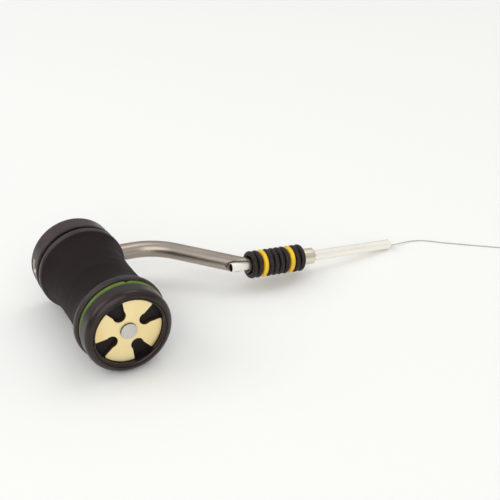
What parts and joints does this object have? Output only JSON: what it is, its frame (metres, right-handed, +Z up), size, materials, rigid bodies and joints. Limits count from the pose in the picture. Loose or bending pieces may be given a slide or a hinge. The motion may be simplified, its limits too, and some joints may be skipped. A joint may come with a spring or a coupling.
{
  "type": "fly tying bobbin holder",
  "caption": "Hand tool that feeds tying thread: a spool turns on a short axle beside a bent arm, whose rubber-ringed grip holds a thin thread tube; a brass wheel sets the drag.",
  "frame": {"origin": "middle of the bottom of the object without its loose thread, on the table that it lies on", "axes": "+X runs along the thread tube to its tip, +Y along the axle from the end cap to the hub, +Z up as it lies on the rims of the spool and the tip of the tube"},
  "size_m": [0.1459, 0.0444, 0.0245],
  "materials": {
    "hub_metal": "dark anodised, satin",
    "polished_steel": "bright drawn steel",
    "arm_steel": "grey steel tube, drawn and lightly polished",
    "tube_steel": "bright thin tube, polished",
    "screw_steel": "turned and satin",
    "black_rubber": "black rubber ring, slight sheen",
    "yellow_rubber": "yellow rubber ring, slight sheen",
    "green_rubber": "green rubber ring, slight sheen",
    "tyre_rubber": "black rubber, satin",
    "bush_bronze": "sintered bronze",
    "white_plastic": "slippery plastic",
    "spindle_metal": "turned aluminium",
    "spool_plastic": "dark moulded plastic",
    "wound_thread": "fine wound thread with a silky sheen",
    "cap_plastic": "black moulded plastic",
    "wheel_brass": "pale brass, satin",
    "loose_thread": "single fine thread"
  },
  "bodies": {
    "arm": {"hub": "hub_metal", "axle": "polished_steel", "thrust_washer": "white_plastic", "axle_clip": "polished_steel", "arm_tube": "arm_steel", "thread_tube": "tube_steel", "grip_ring_01": "black_rubber", "grip_ring_02": "black_rubber", "grip_ring_03": "yellow_rubber", "grip_ring_04": "black_rubber", "grip_ring_05": "black_rubber", "grip_ring_06": "black_rubber", "grip_ring_07": "black_rubber", "grip_ring_08": "yellow_rubber", "grip_ring_09": "black_rubber", "grip_ring_10": "black_rubber", "thread_tail": "loose_thread"},
    "spool": {"spindle": "spindle_metal", "bush_far": "bush_bronze", "bush_near": "bush_bronze", "spindle_ring_far": "black_rubber", "spindle_ring_near": "black_rubber", "spool": "spool_plastic", "thread_wrap": "wound_thread"},
    "end_cap": {"cap_core": "cap_plastic", "cap_tyre": "tyre_rubber", "green_ring": "green_rubber", "stem_ring": "black_rubber", "drag_pad": "white_plastic", "drag_spring": "polished_steel"},
    "drag_wheel": {"drag_wheel": "wheel_brass", "drag_screw": "screw_steel"}
  },
  "joints": [
    {"name": "spool_spin", "type": "hinge", "parent": "arm", "child": "spool", "pos_m": [-0.04061, 0, 0.01225], "axis": [0, -1, 0], "continuous": true},
    {"name": "cap_pull", "type": "slide", "parent": "spool", "child": "end_cap", "axis": [0, -1, 0], "range_m": [0, 0.0085]},
    {"name": "drag_turn", "type": "hinge", "parent": "end_cap", "child": "drag_wheel", "pos_m": [-0.04061, -0.0202, 0.01225], "axis": [0, -1, 0], "range_deg": [-180, 180]}
  ]
}
